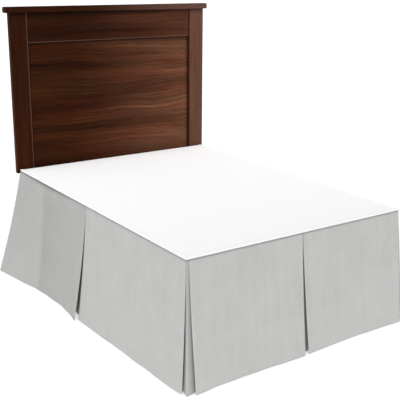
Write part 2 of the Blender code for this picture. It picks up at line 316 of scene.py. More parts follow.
# %% Make the sewing thread finish
def thread_material(name, colour):
    """A twisted sewing thread."""
    material, nodes, links, shader = new_material(name, 0.7, 0.3)
    spot = nodes.new("ShaderNodeTexCoord").outputs["Object"]
    twist = stretched_noise(nodes, links, spot, (900.0, 900.0, 900.0), 2.0)
    stops = ((0.3, tuple(c * 0.8 for c in colour)), (0.7, colour))
    links.new(colour_ramp(nodes, links, twist, stops), shader.inputs["Base Color"])
    return material


grey_thread = thread_material("grey_thread", (0.46, 0.46, 0.45))
print("thread finish:", grey_thread.name)

# %% [markdown]
# ### Dark wood
#
# The headboard is faced with a red-brown wood whose grain runs along each board: level on the
# rails and the panel, upright on the posts. Long soft bands come from noise stretched many
# times along the grain and bent by a slower noise, and short dark pores from a much finer
# one. The wood is dark at the left and turns warmer and lighter toward the right, partly as
# the veneer changes and partly as a painted sheen of light from the right, so two rows of
# colours are made and mixed by the place across the headboard. The lacquer is rubbed down,
# so the wood stays deep in colour and shines little. Painted shade darkens the colour under
# the cap, over its top, in the joints beside and above the panel and at the right post's
# edges, and painted highlights lighten the left post's inner edge, the rail's lower edge and
# the right end of the posts and cap: these are narrow bands that darken or lighten the colour
# at a place across or up the headboard.

# %% Make the wood finishes
DARK_WOOD = ((0.30, (0.016, 0.0040, 0.0011)), (0.45, (0.031, 0.0086, 0.0025)),
             (0.56, (0.047, 0.0130, 0.0040)), (0.72, (0.080, 0.0250, 0.0080)))
# The colours toward the right: warmer veneer, with a painted sheen of light from the right.
WARM_SHEEN_WOOD = ((0.30, (0.060, 0.0212, 0.0110)), (0.45, (0.108, 0.0410, 0.0218)),
             (0.56, (0.156, 0.0640, 0.0352)), (0.72, (0.254, 0.1090, 0.0565)))


def scaled_stops(stops, lift):
    """A row of colour stops made lighter or darker."""
    return tuple((place, tuple(c * lift for c in colour)) for place, colour in stops)


# Near-black colour that paints shade into the wood: under the cap, over its top, in the joints beside and
# above the panel, and at the right post's edges.
PAINTED_SHADE = (0.004, 0.0015, 0.0008)
# Pale colour that paints highlights into the wood: on the left post's inner edge, the rail's lower edge,
# and toward the right end of the posts and the cap.
PAINTED_HIGHLIGHT = (0.210, 0.150, 0.130)


def banded(nodes, links, colour, value, band):
    """A colour that passes to a painted shade, or a painted highlight, in a narrow band."""
    place, half, amount, tone = band
    away = number_math(nodes, links, "ABSOLUTE", number_math(nodes, links, "SUBTRACT", value, place))
    hill = number_math(nodes, links, "MULTIPLY_ADD", away, -amount / half, amount)
    share = number_math(nodes, links, "MAXIMUM", hill, 0.0)
    paint = nodes.new("ShaderNodeRGB")
    paint.outputs[0].default_value = (*tone, 1.0)
    return mixed_colour(nodes, links, "MIX", share, colour, paint.outputs[0])


def dark_wood_material(name, along, seed, lift=1.0, contrast=1.0, painted_bands=()):
    """Lacquered dark wood, its grain along one axis, with bands of painted shade and painted highlight.
    """
    material, nodes, links, shader = new_material(name, 0.44, 0.03)
    spot = nodes.new("ShaderNodeTexCoord").outputs["Object"]
    lay = nodes.new("ShaderNodeMapping")
    lay.inputs["Location"].default_value = (seed, seed * 0.37, seed * 0.71)
    if along == "Z":
        lay.inputs["Rotation"].default_value = (0.0, math.pi / 2, 0.0)
    links.new(spot, lay.inputs["Vector"])
    place = lay.outputs["Vector"]
    bend = stretched_noise(nodes, links, place, (1.2, 2.0, 2.6), 2.0, 0.5)
    pull = nodes.new("ShaderNodeCombineXYZ")
    links.new(number_math(nodes, links, "MULTIPLY", bend, 0.15), pull.inputs["Z"])
    bent = nodes.new("ShaderNodeVectorMath")
    bent.operation = "ADD"
    links.new(place, bent.inputs[0])
    links.new(pull.outputs["Vector"], bent.inputs[1])
    figure = bent.outputs["Vector"]
    bands = stretched_noise(nodes, links, figure, (0.7, 6.0, 10.0), 4.0, 0.55)
    lines = stretched_noise(nodes, links, figure, (1.1, 20.0, 95.0), 5.0, 0.70)
    pores = stretched_noise(nodes, links, figure, (12.0, 90.0, 560.0), 2.0, 0.5)
    mix = number_math(nodes, links, "MULTIPLY_ADD", bands, 0.58 * contrast, 0.5 - 0.5 * contrast)
    mix = number_math(nodes, links, "MULTIPLY_ADD", lines, 0.42 * contrast, mix)
    across = nodes.new("ShaderNodeSeparateXYZ")
    links.new(spot, across.inputs["Vector"])
    # Lighter and warmer toward the right: partly the veneer, partly a painted sheen of light from the
    # right.
    warmth_and_sheen = nodes.new("ShaderNodeMapRange")
    warmth_and_sheen.interpolation_type = "SMOOTHSTEP"
    warmth_and_sheen.inputs["From Min"].default_value = -0.38
    warmth_and_sheen.inputs["From Max"].default_value = 0.74
    links.new(across.outputs["X"], warmth_and_sheen.inputs["Value"])
    dark_row = colour_ramp(nodes, links, mix, scaled_stops(DARK_WOOD, lift))
    warm_sheen_row = colour_ramp(nodes, links, mix, scaled_stops(WARM_SHEEN_WOOD, lift))
    base = mixed_colour(nodes, links, "MIX", warmth_and_sheen.outputs["Result"], dark_row, warm_sheen_row)
    pits = colour_ramp(nodes, links, pores, ((0.36, (0.62, 0.62, 0.62)), (0.46, (1.0, 1.0, 1.0))))
    colour = mixed_colour(nodes, links, "MULTIPLY", 1.0, base, pits)
    hue = stretched_noise(nodes, links, figure, (1.6, 3.0, 9.0), 4.0, 0.6)
    tints = ((0.34, (1.00, 0.84, 0.80)), (0.66, (0.93, 1.00, 1.00)))
    colour = mixed_colour(nodes, links, "MULTIPLY", 1.0, colour, colour_ramp(nodes, links, hue, tints))
    for axis, *band in painted_bands:
        colour = banded(nodes, links, colour, across.outputs[axis], band)
    links.new(colour, shader.inputs["Base Color"])
    gloss = nodes.new("ShaderNodeMapRange")
    gloss.inputs["To Min"].default_value = 0.36
    gloss.inputs["To Max"].default_value = 0.52
    links.new(lines, gloss.inputs["Value"])
    links.new(gloss.outputs["Result"], shader.inputs["Roughness"])
    relief(nodes, links, shader, pores, 0.25, 0.0002)
    return material


# A band is its axis, its place on it, its half width, how much it covers at most, and its colour.
# Each band below paints shade or a highlight into the wood's colour.
CAP_SHADE_BAND = ("Z", 1.616, 0.034, 0.80, PAINTED_SHADE)
PANEL_BANDS = (
    ("X", 0.600, 0.034, 1.10, PAINTED_SHADE),
    ("X", -0.594, 0.010, 0.60, PAINTED_SHADE),
    ("Z", 1.431, 0.016, 0.80, PAINTED_SHADE),
)
RAIL_BANDS = (
    CAP_SHADE_BAND,
    ("Z", 1.4325, 0.0060, 0.26, PAINTED_HIGHLIGHT),
    ("X", 0.597, 0.014, 0.95, PAINTED_SHADE),
)
POST_BANDS = (
    CAP_SHADE_BAND,
    ("X", -0.5955, 0.0060, 0.42, PAINTED_HIGHLIGHT),
    ("X", 0.593, 0.004, 1.00, PAINTED_SHADE),
    ("X", 0.706, 0.007, 0.60, PAINTED_SHADE),
    ("X", 0.800, 0.300, 0.26, PAINTED_HIGHLIGHT),
)
CAP_BANDS = (
    ("Z", 1.650, 0.009, 0.50, PAINTED_SHADE),
    ("X", 0.800, 0.900, 0.30, PAINTED_HIGHLIGHT),
)
wood_panel = dark_wood_material("dark_wood_panel", "X", 0.0, 1.03, 1.30, PANEL_BANDS)
wood_rail = dark_wood_material("dark_wood_rail", "X", 3.1, 0.78, 1.0, RAIL_BANDS)
wood_upright = dark_wood_material("dark_wood_post", "Z", 5.3, 1.08, 0.9, POST_BANDS)
wood_cap = dark_wood_material("dark_wood_cap", "X", 8.7, 0.80, 0.5, CAP_BANDS)
print("wood finishes:", [m.name for m in (wood_panel, wood_rail, wood_upright, wood_cap)])


# %% Make the finishes of the hidden base
def plywood_material(name):
    """Bare softwood and plywood: pale, with long grain and a few darker streaks."""
    material, nodes, links, shader = new_material(name, 0.7, 0.3)
    spot = nodes.new("ShaderNodeTexCoord").outputs["Object"]
    grain = stretched_noise(nodes, links, spot, (22.0, 1.3, 60.0), 5.0, 0.6, 0.4)
    fine = stretched_noise(nodes, links, spot, (300.0, 8.0, 300.0), 3.0)
    stops = ((0.35, (0.33, 0.19, 0.09)), (0.5, (0.52, 0.36, 0.20)), (0.7, (0.66, 0.50, 0.31)))
    links.new(colour_ramp(nodes, links, grain, stops), shader.inputs["Base Color"])
    relief(nodes, links, shader, fine, 0.3, 0.0004)
    return material


def steel_material(name):
    """Steel plate with a thin dark paint, slightly uneven."""
    material, nodes, links, shader = new_material(name, 0.45)
    spot = nodes.new("ShaderNodeTexCoord").outputs["Object"]
    peel = stretched_noise(nodes, links, spot, (400.0, 400.0, 400.0), 3.0)
    wear = stretched_noise(nodes, links, spot, (40.0, 40.0, 40.0), 4.0)
    stops = ((0.35, (0.030, 0.030, 0.033)), (0.75, (0.075, 0.075, 0.080)))
    links.new(colour_ramp(nodes, links, wear, stops), shader.inputs["Base Color"])
    relief(nodes, links, shader, peel, 0.2, 0.0003)
    return material


def floor_material(name):
    """A pale floor that is lit from below too, so that it stays white beside the cloth."""
    material, nodes, links, shader = new_material(name, 0.85, 0.2)
    spot = nodes.new("ShaderNodeTexCoord").outputs["Object"]
    speck = stretched_noise(nodes, links, spot, (60.0, 60.0, 60.0), 3.0)
    stops = ((0.3, (0.455, 0.455, 0.455)), (0.7, (0.47, 0.47, 0.47)))
    links.new(colour_ramp(nodes, links, speck, stops), shader.inputs["Base Color"])
    shader.inputs["Emission Color"].default_value = (1.0, 1.0, 1.0, 1.0)
    shader.inputs["Emission Strength"].default_value = 0.60
    return material


plywood = plywood_material("bare_plywood")
steel = steel_material("painted_steel")
floor_paint = floor_material("pale_floor")
print("base finishes:", plywood.name, steel.name, floor_paint.name)

# %% Lay the floor
REACH = 90.0
FLOOR_Z = -0.001
floor_mesh = bpy.data.meshes.new("floor")
corners = [(x * REACH, y * REACH, FLOOR_Z) for x, y in ((-1, -1), (1, -1), (1, 1), (-1, 1))]
floor_mesh.from_pydata(corners, [], [(0, 1, 2, 3)])
floor = bpy.data.objects.new("floor", floor_mesh)
bpy.context.scene.collection.objects.link(floor)
floor_mesh.materials.append(floor_paint)
print("floor", 2 * REACH, "m square")

# %% [markdown]
# ## Cutting and hanging the cloth
#
# A drop is cut as a flat piece, sewn to the deck along its top, and falls from there. It can
# be described as a grid of points on the cloth's middle: rows run down the cloth from the
# heading to the hem, columns run along the bed. A function gives the place of each point, and
# a second step gives the grid its thickness. Writing the form as numbers keeps it exactly on
# the measured solids, which a free simulation would leave.

# %% The bed's sizes, in metres
HALF_W = 1.372 / 2
HALF_L = 1.905 / 2
BED_TOP = 0.645
HEM_HEIGHT = 0.005
CLOTH = 0.0020
SEAM = 0.0004
LIP = 0.007
BEND = 0.006
DROP_OUT = 0.004
LIP_Z = BED_TOP - CLOTH / 2
FALL_TOP = LIP_Z - BEND
FALL = FALL_TOP - HEM_HEIGHT
print("the cloth falls", round(FALL, 3), "m from the edge of the bed")


# %% Turn a grid of middle points into a closed sheet
def grid_normals(mid):
    """The unit normal at each point of a grid of shape (rows, columns, 3)."""
    across = np.gradient(mid, axis=0)
    along = np.gradient(mid, axis=1)
    normal = np.cross(along, across)
    return normal / np.linalg.norm(normal, axis=2, keepdims=True)


def add_piece(name, mesh, material):
    """Links a finished mesh as a piece of the bed."""
    mesh.materials.append(material)
    piece = bpy.data.objects.new(name, mesh)
    bpy.context.scene.collection.objects.link(piece)
    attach(piece, "root")
    return piece


def sheet_piece(name, grid, material):
    """A closed, smooth sheet about a grid, with its flat place and shade on each point."""
    mid, thick, flat, shade = grid
    rows, cols = mid.shape[:2]
    half = grid_normals(mid) * thick[..., None] / 2
    points = np.concatenate([(mid + half).reshape(-1, 3), (mid - half).reshape(-1, 3)])
    total = rows * cols
    index = np.arange(total).reshape(rows, cols)
    a, b, c, d = index[:-1, :-1], index[:-1, 1:], index[1:, 1:], index[1:, :-1]
    faces = [np.stack([a, b, c, d], axis=-1).reshape(-1, 4),
             np.stack([a, d, c, b], axis=-1).reshape(-1, 4) + total]
    for edge in (index[0, ::-1], index[:, 0], index[-1, :], index[::-1, -1]):
        p, q = edge[:-1], edge[1:]
        faces.append(np.stack([p, q, q + total, p + total], axis=-1))
    mesh = bpy.data.meshes.new(name)
    mesh.from_pydata(points.tolist(), [], np.concatenate(faces).tolist())
    mesh.update()
    check = bmesh.new()
    check.from_mesh(mesh)
    if check.calc_volume(signed=True) < 0:
        bmesh.ops.reverse_faces(check, faces=check.faces)
    check.to_mesh(mesh)
    check.free()
    mesh.shade_smooth()
    place = mesh.attributes.new("flat_place", "FLOAT_VECTOR", "POINT")
    place.data.foreach_set("vector", np.tile(flat.reshape(-1, 3), (2, 1)).astype(np.float32).ravel())
    tone = mesh.attributes.new("shade", "FLOAT", "POINT")
    tone.data.foreach_set("value", np.tile(shade.reshape(-1), 2).astype(np.float32))
    return add_piece(name, mesh, material)


print("sheets are", CLOTH * 1000, "mm thick")


# %% Numbers that vary smoothly
def eased(table, at):
    """Values read off a smooth curve through the entries of a short table."""
    u, v = np.array(table).T
    at = np.clip(at, u[0], u[-1])
    slope = np.empty(len(u))
    slope[1:-1] = (v[2:] - v[:-2]) / (u[2:] - u[:-2])
    slope[0] = (v[1] - v[0]) / (u[1] - u[0])
    slope[-1] = (v[-1] - v[-2]) / (u[-1] - u[-2])
    i = np.clip(np.searchsorted(u, at, side="right") - 1, 0, len(u) - 2)
    step = u[i + 1] - u[i]
    k = (at - u[i]) / step
    bent = step * k * (1 - k) * (slope[i] * (1 - k) - slope[i + 1] * k)
    return v[i] + (v[i + 1] - v[i]) * k * k * (3 - 2 * k) + bent


def soft_noise(u, v, seed, scale_u, scale_v):
    """Repeatable smooth noise between about -1 and 1 over two grids of places."""
    out = np.empty(u.shape)
    for spot in np.ndindex(u.shape):
        out[spot] = noise.noise(Vector((u[spot] * scale_u, v[spot] * scale_v, seed)))
    return out


def near(value, place, half):
    """A soft hill: 1 at place, falling away over half."""
    return np.exp(-((value - place) / half) ** 2)


def ramped(value, start, width):
    """0 before start, rising evenly to 1 over width."""
    return np.clip((value - start) / width, 0.0, 1.0)


print("an eased step half way:", float(eased(((0, 0), (1, 1)), np.array([0.5]))[0]))

# %% [markdown]
# ### The six drop panels
#
# Each half of a side is its own panel. It starts as a heading that lies flat under the deck's
# edge, rolls over the edge and falls, swinging out as it goes. The tables say how far the hem
# stands out at places along the edge: the head half on the left swings out most, and turns in
# a little way from the head, which is the soft crease seen there. Edges beside a split are
# turned and pressed, so they are thicker, and the hem is turned up and stitched.
#
# A row of `FOLDS` is a fold's place along the side, its half width and how far it reaches out
# or in. A row of `SPANS` is the side, where the panel starts and ends at the top, where it
# starts and ends at the hem, and a number that sets its ripples apart from the others'.

# %% Where each panel hangs
SIDES = {
    "left": ((-HALF_W, -HALF_L), (0.0, 1.0), (-1.0, 0.0)),
    "foot": ((-HALF_W, -HALF_L), (1.0, 0.0), (0.0, -1.0)),
    "right": ((HALF_W, -HALF_L), (0.0, 1.0), (1.0, 0.0)),
}
HEM_OUT = {
    "left_panel_foot": ((-0.05, 0.050), (0.10, 0.060), (0.42, 0.068), (0.70, 0.078), (0.96, 0.090)),
    "left_panel_head": ((0.94, 0.111), (1.05, 0.095), (1.17, 0.086), (1.29, 0.088),
                        (1.41, 0.096), (1.55, 0.114), (1.73, 0.146), (1.91, 0.177)),
    "foot_panel_left": ((-0.01, 0.086), (0.06, 0.080), (0.20, 0.070), (0.45, 0.071), (0.69, 0.076)),
    "foot_panel_right": ((0.69, 0.074), (0.80, 0.064), (1.05, 0.057), (1.25, 0.059), (1.39, 0.066)),
    "right_panel_foot": ((-0.05, 0.056), (0.12, 0.060), (0.45, 0.056), (0.72, 0.066), (0.96, 0.082)),
    "right_panel_head": ((0.94, 0.086), (1.08, 0.066), (1.35, 0.062), (1.62, 0.074), (1.91, 0.090)),
}
FOLDS = {
    "left_panel_head": ((1.500, 0.050, -0.010), (1.400, 0.080, -0.003), (1.600, 0.060, 0.005)),
    "left_panel_foot": ((0.60, 0.110, 0.004), (0.24, 0.080, -0.003)),
    "foot_panel_left": ((0.38, 0.090, -0.004),),
    "foot_panel_right": ((1.00, 0.110, -0.004),),
    "right_panel_foot": ((0.48, 0.100, -0.006), (0.70, 0.080, 0.004)),
    "right_panel_head": ((1.30, 0.090, 0.006), (1.50, 0.080, -0.007)),
}
SPLIT = 0.0012
SPLIT_OPENS = 0.9
FOLD_FADE = 0.8
LEAN_LEFT = 0.030
CORNER = DROP_OUT - 0.0024
CORNER_OPEN = 0.012
HEAD_GAP = 0.0025
HEAD_TOP = 2 * HALF_L - HEAD_GAP
HEAD_HEM = HEAD_TOP - HEAD_GAP
MID = {"left": HALF_L, "foot": HALF_W, "right": HALF_L}
SPANS = {
    "left_panel_foot": ("left", -CORNER, HALF_L + LEAN_LEFT - SPLIT / 2, -0.045, HALF_L - 0.006, 0.4),
    "left_panel_head": ("left", HALF_L + LEAN_LEFT + SPLIT / 2, HEAD_TOP, HALF_L, HEAD_HEM, 1.7),
    "foot_panel_left": ("foot", CORNER_OPEN, HALF_W - SPLIT / 2, -0.003, HALF_W - 0.013, 2.9),
    "foot_panel_right": ("foot", HALF_W + SPLIT / 2, 2 * HALF_W + CORNER,
                         HALF_W + 0.014, 2 * HALF_W + 0.012, 4.1),
    "right_panel_foot": ("right", -CORNER, HALF_L - SPLIT / 2, -0.040, HALF_L - 0.009, 5.3),
    "right_panel_head": ("right", HALF_L + SPLIT / 2, HEAD_TOP, HALF_L + 0.010, HEAD_HEM, 0.9),
}
print("panels:", ", ".join(SPANS))


# %% The form of one panel
def flare_share(t):
    """How much of the hem's outward swing the cloth has at a share t of its fall."""
    return 0.78 * t + 0.22 * t * t


def swing_out(name, along, t):
    """How far out from the bed's edge a panel hangs, at places along it and shares of its fall."""
    phase = SPANS[name][5]
    ripple = 0.0012 * np.sin(along * 19.0 + phase) + 0.0007 * np.sin(along * 37.0 + phase * 2.3)
    out = eased(HEM_OUT[name], along) * flare_share(t) + ripple * t
    for place, half, reach in FOLDS[name]:
        out = out + reach * near(along, place, half) * np.sqrt(t) * (1 - FOLD_FADE * t ** 4)
    return out


def on_side(side, along, out, z):
    """Points from a place along a side, a distance out from its edge, and a height."""
    (x, y), (ax, ay), (nx, ny) = SIDES[side]
    return np.stack([x + ax * along + nx * out, y + ay * along + ny * out, z], axis=-1)


# These numbers paint shade into the head half on the left: a little over all of it, and more in a band on
# the foot side of its crease, which leans toward the foot lower down. The wide shade numbers make the
# painted shade under its seam taller and darker.
CREASE_AT = 1.550
CREASE_LEAN = 0.08
HEAD_HALF_PAINTED_SHADE = 0.890
CREASE_PAINTED_SHADE = 0.125
WIDE_SHADE_AT = 1.50
WIDE_SHADE_HALF = 0.30
HEM_TURN = 0.030
EDGE_TURN = 0.016
TURN_THICK = 0.0009
HEADING_ROWS = ((-LIP, 0.0), (-LIP * 0.6, 0.0), (-LIP * 0.3, 0.0),
                (DROP_OUT - BEND * 0.8, -BEND * 0.02), (DROP_OUT - BEND * 0.5, -BEND * 0.134),
                (DROP_OUT - BEND * 0.293, -BEND * 0.293), (DROP_OUT - BEND * 0.08, -BEND * 0.62))


def panel_places(name, step):
    """Where a panel's points lie: along its side, out, in height, and as a share of the fall."""
    top0, top1, hem0, hem1 = SPANS[name][1:5]
    cols = max(12, int((top1 - top0) / step))
    k = np.linspace(0.0, 1.0, cols)
    k = k - 0.35 * np.sin(2 * np.pi * k) / (2 * np.pi)
    fall = np.concatenate([np.linspace(0.0, 0.06, 11), np.linspace(0.06, 0.94, int(0.55 / step))[1:],
                           np.linspace(0.94, 1.0, 9)[1:]])
    rows = []
    for out, dz in HEADING_ROWS:
        mitre = DROP_OUT - out
        start = top0 + (mitre if top0 < 0 else 0.0)
        end = top1 - (mitre if name == "foot_panel_right" else 0.0)
        rows.append((start * (1 - k) + end * k, np.full(cols, out),
                     np.full(cols, LIP_Z + dz), np.zeros(cols)))
    for t in fall:
        opened = t ** SPLIT_OPENS
        along = (top0 + (hem0 - top0) * opened) * (1 - k) + (top1 + (hem1 - top1) * opened) * k
        share = np.full(cols, t)
        rows.append((along, DROP_OUT + swing_out(name, along, share), FALL_TOP - FALL * share, share))
    return np.array(rows).transpose(1, 0, 2)


def panel_grid(name, step):
    """The grid of a panel's middle, with its thickness, flat place and shade."""
    side, phase = SPANS[name][0], SPANS[name][5]
    along, out, z, t = panel_places(name, step)
    falling = t > 0
    down = FALL * t
    left = along - along[:, :1]
    right = along[:, -1:] - along
    edge = np.minimum(left, right)
    crumple = 0.0012 * soft_noise(along, down, phase, 6.0, 2.5)
    crumple += 0.0005 * soft_noise(along, down, phase + 9, 21.0, 7.0)
    settled = ramped(t, 0.0, 0.08) * ramped(edge, -0.008, 0.05)
    pucker = 0.0003 * np.sin(along * 420.0 + phase) * near(down, FALL - HEM_TURN, 0.006)
    groove = -0.0014 * near(down, 0.0035, 0.0028)
    out = out + crumple * settled + (pucker + groove) * falling
    turned = np.maximum(ramped(down, FALL - HEM_TURN, 0.002),
                        ramped(EDGE_TURN - edge, 0.0, 0.002) * (t > 0.02))
    flat = np.stack([along, down, np.full(along.shape, phase)], axis=-1)
    # Painted shade under the deck's seam, taller and darker across the middle of the head half on the
    # left; a thin darker line runs along the hem's turned edge.
    wide_shade = near(along, WIDE_SHADE_AT, WIDE_SHADE_HALF) if name == "left_panel_head" else np.zeros(along.shape)
    seam_tall = 0.0045 + 0.0100 * wide_shade
    seam_shade = (0.34 + 0.20 * wide_shade) * np.where(falling, near(down, 0.002, seam_tall), 1.0)
    shade = 1.0 - seam_shade - 0.04 * near(down, FALL - HEM_TURN, 0.0016)
    # Painted shade over the head half on the left, deepest just on the foot side of its crease.
    if name == "left_panel_head":
        past = CREASE_AT - CREASE_LEAN * t - along
        crease_shade = np.exp(-np.maximum(past, 0.0) / 0.30) * ramped(past, -0.015, 0.035)
        shade = shade * (HEAD_HALF_PAINTED_SHADE - CREASE_PAINTED_SHADE * crease_shade * ramped(t, 0.0, 0.15))
    # Painted highlight on the pressed edges beside the splits.
    shade += 0.06 * near(edge, 0.0, 0.006) * ramped(t, 0.0, 0.05)
    return on_side(side, along, out, z), CLOTH + TURN_THICK * turned, flat, shade


STEP = 0.0095
print("grid step of the panels:", STEP)


# %% Hang the panels
grids = {}
for name, (side, top0, top1, hem0, hem1, phase) in SPANS.items():
    grids[name] = panel_grid(name, STEP)
    piece = sheet_piece(name + "_cloth", grids[name], grey_cloth)
    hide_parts(name)

# %% [markdown]
# ### The layers behind the splits
#
# Behind each split in the middle of a side hangs a narrow spare cloth. It is sewn in at the
# top, right behind the panels, and stands further back toward the hem. It is in the panels'
# shade, and that shade is also painted in: it wears a darker copy of the grey cloth.


# %% Make the layers behind the middle splits
def panels_out(side, along, t):
    """How far out the two panels of a side are at places along it."""
    first, second = [n for n in SPANS if SPANS[n][0] == side]
    hem = np.where(along < MID[side], eased(HEM_OUT[first], along), eased(HEM_OUT[second], along))
    return DROP_OUT + hem * flare_share(t)


BACKING_HALF = 0.120
BACKING_ROWS = 60
BACKING_COLS = 28
BACKING_TOP = BED_TOP - 0.014
BACKING_HEM = HEM_HEIGHT + 0.004
HEM_LINE = 0.955


def backing_grid(side, rows, cols):
    """The grid of the layer behind a middle split."""
    t = np.linspace(0.0, 1.0, rows)[:, None] * np.ones(cols)
    k = np.linspace(-1.0, 1.0, cols)[None, :] * np.ones((rows, 1))
    z = BACKING_TOP + (BACKING_HEM - BACKING_TOP) * t
    share = np.maximum((FALL_TOP - z) / FALL, 0.0)
    lean = LEAN_LEFT * (1 - share) if side == "left" else 0.0 * share
    along = MID[side] + lean + BACKING_HALF * k
    edge = np.minimum(panels_out(side, MID[side] - 0.02 + 0 * share, share),
                      panels_out(side, MID[side] + 0.02 + 0 * share, share))
    behind = CLOTH + SEAM + 0.020 * share + 0.010 * share * np.abs(k)
    down = BACKING_TOP - z
    drift = soft_noise(along, down, 3.0, 9.0, 4.0) * 0.0015 * ramped(share, 0.0, 0.2)
    thick = CLOTH - 0.0002 + 0.0008 * ramped(t, HEM_LINE, 0.004)
    flat = np.stack([along, down, np.full(along.shape, 11.0)], axis=-1)
    # A thin darker line along the hem line.
    shade = 1.0 - 0.05 * near(t, HEM_LINE, 0.004)
    return on_side(side, along, edge - behind + drift, z), thick, flat, shade


for side in SIDES:
    grid = backing_grid(side, BACKING_ROWS, BACKING_COLS)
    backing = sheet_piece(side + "_pleat_backing_cloth", grid, shaded_cloth)
    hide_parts(side + "_pleat_backing")

# %% [markdown]
# ### The corner inserts
#
# At each foot corner the panels part from the top down, and a folded cloth shows between
# them. It runs behind both panels and turns the corner in one standing crease. Its lower edge
# comes to a point there, because the crease hangs furthest out.


# %% Make the corner inserts
INSERT_SIDE_ARM = (0.130, 0.080, 0.034, -0.022)
INSERT_FOOT_ARM = (0.006, 0.040, 0.085, 0.140)
INSERT_BACK = 0.018
CREASE_BACK = 0.011
INSERT_TOP = FALL_TOP + 0.0005
INSERT_HEM = HEM_HEIGHT + 0.001
INSERT_ROWS = 60
CREASE_SPOT = len(INSERT_SIDE_ARM)
FINER = 4


def insert_corners(hand, t):
    """The places that the insert passes at a share t of its own fall, from side to foot."""
    side = "left" if hand < 0 else "right"
    z = INSERT_TOP + (INSERT_HEM - INSERT_TOP) * t
    share = max((FALL_TOP - z) / FALL, 0.0)
    behind = CLOTH + SEAM + INSERT_BACK * share
    spots = []
    for at in INSERT_SIDE_ARM:
        along = at if at > 0 else at * share
        spots.append((float(panels_out(side, np.array(at), share)) - behind, along))
    crease = CLOTH + SEAM + CREASE_BACK * share
    foot_end = 0.0 if hand < 0 else 2 * HALF_W
    spots.append((float(panels_out(side, np.array(0.0), share)) - crease,
                  crease - float(panels_out("foot", np.array(foot_end), share))))
    for at in INSERT_FOOT_ARM:
        place = at if hand < 0 else 2 * HALF_W - at
        spots.append((-at, behind - float(panels_out("foot", np.array(place), share))))
    return np.array([(hand * (HALF_W + out), -HALF_L + along, z) for out, along in spots])


def rounded_line(spots, sharp):
    """A smooth line through spots, FINER steps apart, that keeps a crease at one of them."""
    last = len(spots) - 1
    line = [spots[0]]
    for i in range(last):
        p0, p1, p2, p3 = spots[max(i - 1, 0)], spots[i], spots[i + 1], spots[min(i + 2, last)]
        if i + 1 == sharp:
            p3 = 2 * p2 - p1
        if i == sharp:
            p0 = 2 * p1 - p2
        for step in range(1, FINER + 1):
            k = step / FINER
            line.append(0.5 * (2 * p1 + (p2 - p0) * k + (2 * p0 - 5 * p1 + 4 * p2 - p3) * k ** 2
                               + (3 * p1 - p0 - 3 * p2 + p3) * k ** 3))
    return line


def insert_grid(hand, rows):
    """The insert's grid, with its crease sharp and the rest eased."""
    levels = np.linspace(0.0, 1.0, rows)
    mid = np.array([rounded_line(insert_corners(hand, t), CREASE_SPOT) for t in levels])
    step = np.linalg.norm(np.diff(mid, axis=1), axis=2)
    along = np.concatenate([np.zeros((rows, 1)), np.cumsum(step, axis=1)], axis=1)
    down = INSERT_TOP - mid[..., 2]
    t = down / down.max()
    thick = CLOTH - 0.0002 + 0.0008 * ramped(t, HEM_LINE, 0.004)
    flat = np.stack([along, down, np.full(along.shape, 17.0)], axis=-1)
    fold = along[:, CREASE_SPOT * FINER:CREASE_SPOT * FINER + 1]
    # Painted shade over the whole insert, which stands back in the corner, and a painted highlight along
    # its crease; a thin darker line runs along its hem line.
    shade = 0.86 - 0.05 * near(t, HEM_LINE, 0.004) + 0.12 * near(along, fold, 0.005)
    return mid, thick, flat, shade


for word, hand in (("left", -1), ("right", 1)):
    grid = insert_grid(hand, INSERT_ROWS)
    insert = sheet_piece("corner_insert_" + word + "_cloth", grid, grey_cloth)
    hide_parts("corner_insert_" + word)

# %% [markdown]
# ### The deck
#
# The deck cloth lies flat on the bed board. Its edge passes over the headings of the drops,
# which lift it by a cloth's thickness, and is rolled down over the seam. It is never quite
# flat: it lies in very low waves, a millimetre at most, that only raking light shows, and it
# puckers a little near the seam.

# %% Lay the deck cloth
ROLL_START = 0.0028
ROLL_RADIUS = 0.003
ROLL_END = ROLL_RADIUS * math.pi / 2 + 0.002
RIM_WIDE = ROLL_END + 0.018


def rolled(beyond):
    """Where cloth that runs past the edge's line goes: how far out, and how far down."""
    angle = np.clip(beyond / ROLL_RADIUS, 0.0, math.pi / 2)
    out = np.where(beyond > 0, ROLL_RADIUS * np.sin(angle), beyond)
    hang = np.maximum(beyond - ROLL_RADIUS * math.pi / 2, 0.0)
    return out, np.where(beyond > 0, ROLL_RADIUS * (1 - np.cos(angle)) + hang, 0.0)


def rim_spaced(low, high, count, high_rim):
    """Places from low to high, evenly spaced, with closer ones at the ends that have a rim."""
    rim = np.linspace(0.0, RIM_WIDE, 12)[:-1]
    inner_high = high - (RIM_WIDE if high_rim else 0.0)
    end = (high - rim)[::-1] if high_rim else np.array([])
    return np.concatenate([low + rim, np.linspace(low + RIM_WIDE, inner_high, count), end])


